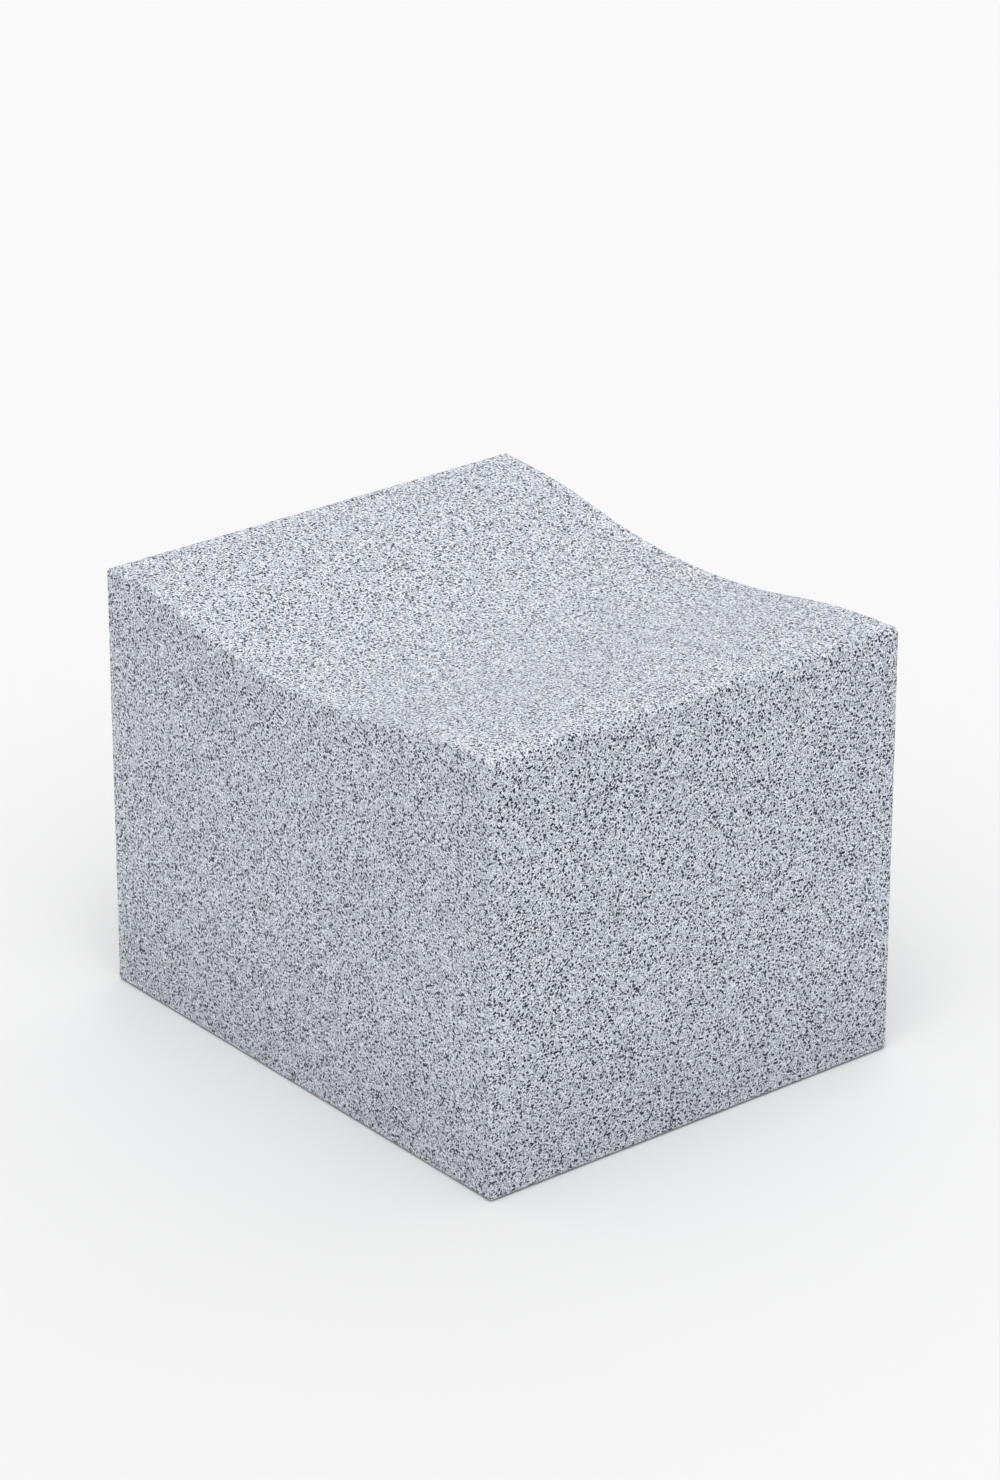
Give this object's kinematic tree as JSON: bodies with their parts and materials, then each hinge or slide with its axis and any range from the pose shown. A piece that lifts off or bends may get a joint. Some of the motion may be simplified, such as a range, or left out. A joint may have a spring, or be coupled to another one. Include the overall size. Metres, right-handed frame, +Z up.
{
  "type": "backless bench",
  "caption": "Backless single seat cut from one granite block with a dished top, on rubber pads, with threaded sockets bonded into its underside.",
  "frame": {"origin": "on the ground, at the middle of the block's plan", "axes": "+X across the seat from one crest of the dish to the other, +Y along the dish, +Z up; front is -Y, left is -X"},
  "size_m": [0.6, 0.5, 0.45],
  "materials": {
    "granite": "fine bush-hammered light grey granite",
    "stainless_steel": "turned, uncoated",
    "anchor_resin": "cured two-part anchor resin",
    "plug_plastic": "moulded black plastic",
    "pad_rubber": "matt black synthetic rubber sheet"
  },
  "bodies": {
    "root": {"seat_block": "granite", "anchor_socket_front_left": "stainless_steel", "anchor_socket_front_right": "stainless_steel", "anchor_socket_rear_left": "stainless_steel", "anchor_socket_rear_right": "stainless_steel", "resin_collar_front_left": "anchor_resin", "resin_collar_front_right": "anchor_resin", "resin_collar_rear_left": "anchor_resin", "resin_collar_rear_right": "anchor_resin", "socket_plug_front_left": "plug_plastic", "socket_plug_front_right": "plug_plastic", "socket_plug_rear_left": "plug_plastic", "socket_plug_rear_right": "plug_plastic", "bearing_pad_front_left": "pad_rubber", "bearing_pad_front_right": "pad_rubber", "bearing_pad_rear_left": "pad_rubber", "bearing_pad_rear_right": "pad_rubber"}
  },
  "joints": []
}
